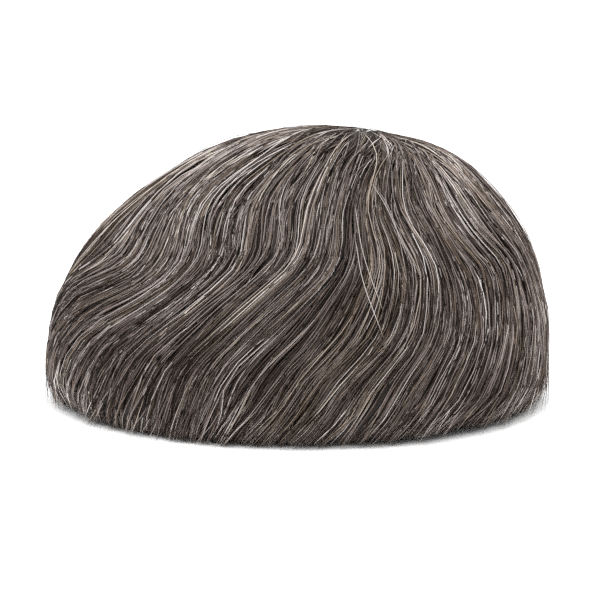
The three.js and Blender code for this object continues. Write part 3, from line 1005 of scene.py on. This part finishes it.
def floor_material():
    """A matt white studio table."""
    material, tree = new_material("white studio table")
    if tree is None:
        return material
    shader = add_node(
        tree, "ShaderNodeBsdfPrincipled",
        values={"Base Color": (*bpy.context.scene.hair_colours.table, 1), "Roughness": 0.9},
    )
    finish_material(tree, shader)
    return material


# Operators

UNDERCOAT_FALLS = (0.985, 0.01)  # at the hem and at the whorl
UNDERCOAT_DEPTHS = (2.8 * MM, 4.4 * MM)  # at the whorl and further down
UNDERCOAT_GRID = 32
STRAY_STEPS = 16
STRAY_WIDTHS = (0.28, 0.38)  # in millimetres
STRAY_TONES = (0.72, 0.92)
STRAY_LIFT = 0.5 * MM  # above the top hair
STRAY_END_SINK = 1.6 * MM

class HAIRPIECE_OT_base_net(bpy.types.Operator):
    """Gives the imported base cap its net"""
    bl_idname = "hairpiece.base_net"
    bl_label = "Base net"

    def execute(self, context):
        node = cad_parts["base_cap"]
        node.data.materials.clear()
        node.data.materials.append(net_material())
        return {"FINISHED"}


class HAIRPIECE_OT_undercoat(bpy.types.Operator):
    """Makes the closed shell of deep hair under one piece's strands"""
    bl_idname = "hairpiece.undercoat"
    bl_label = "Undercoat"
    piece: StringProperty(
        name="Piece", description="The piece of hair it lies under", default="hair_front",
    )

    def execute(self, context):
        name, first, last = next(row for row in pieces_of_hair() if row[0] == self.piece)
        bpy.ops.object.select_all(action="DESELECT")
        bpy.ops.mesh.primitive_grid_add(
            x_subdivisions=UNDERCOAT_GRID, y_subdivisions=UNDERCOAT_GRID, size=1, calc_uvs=True,
        )
        shell = context.object
        shell.name = name.replace("hair_", "") + "_undercoat"
        shell.data.name = shell.name
        flat = np.array([corner.co[:2] for corner in shell.data.vertices]) + 0.5
        place = mix(first, last, flat[:, 0])
        fall = mix(*UNDERCOAT_FALLS, flat[:, 1])
        azimuth = lie(place, fall)
        depth = mix(*UNDERCOAT_DEPTHS, smoothstep(fall, 0.05, 0.3))
        sink = depth + hollow_depth(azimuth, fall) - 0.5 * hem_flare(azimuth, fall)
        points = sunk(hair_point(azimuth, fall), sink)
        points[:, 2] += hem_lift(azimuth, fall)
        for corner, point in zip(shell.data.vertices, points):
            corner.co = point
        bpy.ops.object.mode_set(mode="EDIT")
        bpy.ops.mesh.select_all(action="SELECT")
        bpy.ops.mesh.extrude_region_move()
        bpy.ops.object.mode_set(mode="OBJECT")
        inner = [corner for corner in shell.data.vertices if corner.select]
        outer = np.array([corner.co for corner in inner])
        nearest = [int(np.argmin(np.sum((points - co) ** 2, axis=1))) for co in outer]
        inside = inner_point(azimuth[nearest], fall[nearest])
        for corner, point in zip(inner, inside):
            corner.co = point
        bpy.ops.object.mode_set(mode="EDIT")
        bpy.ops.mesh.select_all(action="SELECT")
        bpy.ops.mesh.normals_make_consistent(inside=False)
        bpy.ops.object.mode_set(mode="OBJECT")
        bpy.ops.object.shade_smooth()
        shell.data.materials.append(undercoat_material())
        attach(shell, "root")
        return {"FINISHED"}


class HAIRPIECE_OT_strands(bpy.types.Operator):
    """Combs one layer of one piece's strands"""
    bl_idname = "hairpiece.strands"
    bl_label = "Strands"
    piece: StringProperty(
        name="Piece", description="The piece of hair they stand for", default="hair_front",
    )
    layer: EnumProperty(
        name="Layer", description="Which layer is combed",
        items=[
            ("upper", "Upper", "The hair that shows"), ("under", "Under", "The hair beneath it"),
            ("hem", "Hem", "The short ends above the table"),
        ],
    )

    def execute(self, context):
        rows = pieces_of_hair()
        index = next(i for i, row in enumerate(rows) if row[0] == self.piece)
        name, first, last = rows[index]
        seed = context.scene.hair_settings.seed + 10 * index + list(LAYERS).index(self.layer)
        rng = np.random.default_rng(seed)
        title = f"{name.replace('hair_', '')}_{self.layer}_strands"
        mesh = strand_mesh(title, *grow(rng, first, last, self.layer))
        replaced = (name,) if name != "hair_nape" else (name, "hair_crown")
        place_mesh(title, mesh, hair_material(), replaced)
        return {"FINISHED"}


class HAIRPIECE_OT_stray_hairs(bpy.types.Operator):
    """Lays the long light hairs that fell across the others"""
    bl_idname = "hairpiece.stray_hairs"
    bl_label = "Stray hairs"

    def execute(self, context):
        rng = np.random.default_rng(context.scene.hair_settings.seed)
        rows = np.array(STRAYS, float).transpose(0, 2, 1)
        along = np.linspace(0, 1, STRAY_STEPS + 1)
        azimuth, fall = np.moveaxis(smooth_through(np.array([0, 0.5, 1]), rows, along), 1, 0)
        azimuth = np.radians(azimuth)
        lift = STRAY_LIFT + proud(azimuth, fall)
        ends = STRAY_END_SINK * (1 - np.sin(math.pi * mix(0.04, 0.96, along))) ** 2
        points = sunk(hair_point(azimuth, fall), hollow_depth(azimuth, fall) + ends - lift)
        points[..., 2] += hem_lift(azimuth, fall)
        count = len(points)
        widths = rng.uniform(*STRAY_WIDTHS, count) * MM
        tone = np.repeat(rng.uniform(*STRAY_TONES, (count, 1)), len(along), axis=1)
        along = np.repeat(along[None, :], count, axis=0)
        mesh = strand_mesh("stray_hairs", points, tone, along, widths, np.zeros(count, bool))
        place_mesh("stray_hairs", mesh, hair_material())
        return {"FINISHED"}


class HAIRPIECE_OT_stage(bpy.types.Operator):
    """Sets the table, the white room, the lights and the camera"""
    bl_idname = "hairpiece.stage"
    bl_label = "Stage"

    def execute(self, context):
        scene = context.scene
        stage = scene.stage_settings
        bpy.ops.object.select_all(action="DESELECT")
        bpy.ops.mesh.primitive_plane_add(size=TABLE_SIZE, location=(0, 0, 0))
        floor = context.object
        floor.name = "studio_table"
        floor.data.materials.append(floor_material())

        world = bpy.data.worlds.new("white room")
        world.use_nodes = True
        background = world.node_tree.nodes["Background"]
        background.inputs["Color"].default_value = (1, 1, 1, 1)
        background.inputs["Strength"].default_value = stage.sky
        scene.world = world

        turn, height = stage.key_turn, stage.key_height
        flat = math.cos(height)
        towards = Vector((flat * math.sin(turn), -flat * math.cos(turn), math.sin(height)))
        lights = (
            ("wide_light", stage.key, stage.key_width, towards),
            ("ceiling_light", stage.ceiling, CEILING_WIDTH, OVERHEAD.normalized()),
        )
        for name, strength, width, direction in lights:
            light = bpy.data.lights.new(name, "SUN")
            light.energy = strength
            light.angle = width
            lamp = bpy.data.objects.new(name, light)
            scene.collection.objects.link(lamp)
            lamp.location = direction
            lamp.rotation_euler = direction.to_track_quat("Z", "Y").to_euler()

        data = bpy.data.cameras.new("camera")
        data.sensor_width = SENSOR
        focal_px = SPAN_PX / HAIR_LENGTH * CAMERA_DISTANCE
        data.lens = SENSOR * focal_px / FRAME_PX
        data.dof.use_dof = False
        camera = bpy.data.objects.new("camera", data)
        scene.collection.objects.link(camera)
        back = Vector((0, -math.cos(ELEVATION), math.sin(ELEVATION)))
        camera.location = TARGET + back * CAMERA_DISTANCE
        camera.rotation_euler = back.to_track_quat("Z", "Y").to_euler()
        scene.camera = camera
        scene.view_settings.view_transform = "Standard"
        # hairs are finer than a pixel, and smoothing away grain would smear them
        scene.cycles.use_denoising = False
        scene.cycles.filter_width = 1.5
        return {"FINISHED"}


class HAIRPIECE_PT_panel(bpy.types.Panel):
    """Lists the steps in the 3D view's sidebar"""
    bl_label = "Hairpiece"
    bl_idname = "HAIRPIECE_PT_panel"
    bl_space_type = "VIEW_3D"
    bl_region_type = "UI"
    bl_category = "Hairpiece"

    def draw(self, context):
        scene = context.scene
        for settings in (scene.hair_settings, scene.hair_colours, scene.stage_settings):
            for name in settings.__annotations__:
                self.layout.prop(settings, name)
        for step in STEPS:
            self.layout.operator(step.bl_idname)


STEPS = (
    HAIRPIECE_OT_base_net, HAIRPIECE_OT_undercoat, HAIRPIECE_OT_strands, HAIRPIECE_OT_stray_hairs,
    HAIRPIECE_OT_stage,
)
CLASSES = (HairSettings, HairColours, StageSettings, *STEPS, HAIRPIECE_PT_panel)


def register():
    for cls in CLASSES:
        bpy.utils.register_class(cls)
    bpy.types.Scene.hair_settings = PointerProperty(type=HairSettings)
    bpy.types.Scene.hair_colours = PointerProperty(type=HairColours)
    bpy.types.Scene.stage_settings = PointerProperty(type=StageSettings)


def unregister():
    del bpy.types.Scene.stage_settings
    del bpy.types.Scene.hair_colours
    del bpy.types.Scene.hair_settings
    for cls in reversed(CLASSES):
        bpy.utils.unregister_class(cls)


def main():
    register()
    bpy.ops.hairpiece.stage()
    bpy.ops.hairpiece.base_net()
    for name, _, _ in pieces_of_hair():
        bpy.ops.hairpiece.undercoat(piece=name)
        for layer in LAYERS:
            bpy.ops.hairpiece.strands(piece=name, layer=layer)
    bpy.ops.hairpiece.stray_hairs()


if __name__ == "__main__":
    main()
